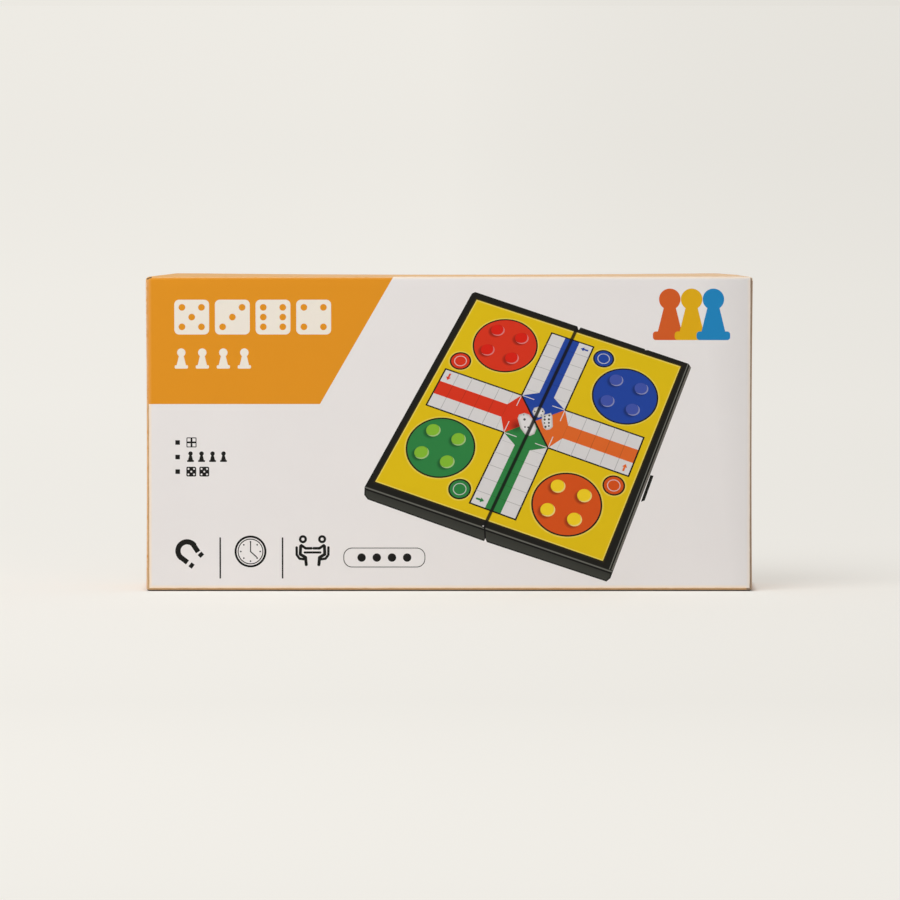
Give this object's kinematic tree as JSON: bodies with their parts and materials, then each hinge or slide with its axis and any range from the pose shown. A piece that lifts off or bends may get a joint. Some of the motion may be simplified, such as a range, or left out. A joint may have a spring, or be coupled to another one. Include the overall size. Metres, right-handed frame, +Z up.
{
  "type": "folding board game box",
  "caption": "Flat printed card box with a lift-off lid, standing on its long side, that holds a folding ludo board case with magnetic pawns and dice",
  "frame": {"origin": "on the floor, under the middle of the box as it stands on its long side", "axes": "+X along the box to the right of the printed front, +Y from the printed front to the back, +Z up"},
  "size_m": [0.26, 0.044, 0.135],
  "materials": {
    "printed_card": "printed, satin",
    "tray_card": "plain, matt",
    "leaflet_paper": "matt",
    "case_plastic": "satin moulded",
    "play_print": "printed, laminated",
    "steel": "bright",
    "magnet": "dull",
    "pawn_red": "gloss",
    "pawn_green": "gloss",
    "pawn_yellow": "gloss",
    "pawn_blue": "gloss",
    "die": "gloss"
  },
  "bodies": {
    "base": {"tray": "tray_card", "rules_leaflet": "leaflet_paper"},
    "lid": {"lid": "printed_card"},
    "board_rear": {"case_rear": "case_plastic", "steel_sheet_rear": "steel", "play_sheet_rear": "play_print", "hinge_pin_left": "steel", "hinge_pin_right": "steel", "die_left": "die", "die_right": "die", "pawn_red_1": "pawn_red", "magnet_red_1": "magnet", "pawn_red_2": "pawn_red", "magnet_red_2": "magnet", "pawn_red_3": "pawn_red", "magnet_red_3": "magnet", "pawn_red_4": "pawn_red", "magnet_red_4": "magnet", "pawn_green_1": "pawn_green", "magnet_green_1": "magnet", "pawn_green_2": "pawn_green", "magnet_green_2": "magnet", "pawn_green_3": "pawn_green", "magnet_green_3": "magnet", "pawn_green_4": "pawn_green", "magnet_green_4": "magnet"},
    "board_front": {"case_front": "case_plastic", "clasp": "case_plastic", "steel_sheet_front": "steel", "play_sheet_front": "play_print", "pawn_yellow_1": "pawn_yellow", "magnet_yellow_1": "magnet", "pawn_yellow_2": "pawn_yellow", "magnet_yellow_2": "magnet", "pawn_yellow_3": "pawn_yellow", "magnet_yellow_3": "magnet", "pawn_yellow_4": "pawn_yellow", "magnet_yellow_4": "magnet", "pawn_blue_1": "pawn_blue", "magnet_blue_1": "magnet", "pawn_blue_2": "pawn_blue", "magnet_blue_2": "magnet", "pawn_blue_3": "pawn_blue", "magnet_blue_3": "magnet", "pawn_blue_4": "pawn_blue", "magnet_blue_4": "magnet"}
  },
  "joints": [
    {"name": "lid_lift_off", "type": "slide", "parent": "base", "child": "lid", "axis": [0, -1, 0], "range_m": [0, 0.5]},
    {"name": "board_lift_out", "type": "slide", "parent": "base", "child": "board_rear", "axis": [0, -1, 0], "range_m": [0, 0.075]},
    {"name": "board_unfold", "type": "hinge", "parent": "board_rear", "child": "board_front", "pos_m": [0, 0, 0.12655], "axis": [-1, 0, 0], "range_deg": [0, 180]}
  ],
  "couplings": [
    {"joint": "board_lift_out", "follows": "lid_lift_off", "ratio": 0.15},
    {"joint": "board_unfold", "follows": "lid_lift_off", "rad_per_m": 6.283}
  ]
}
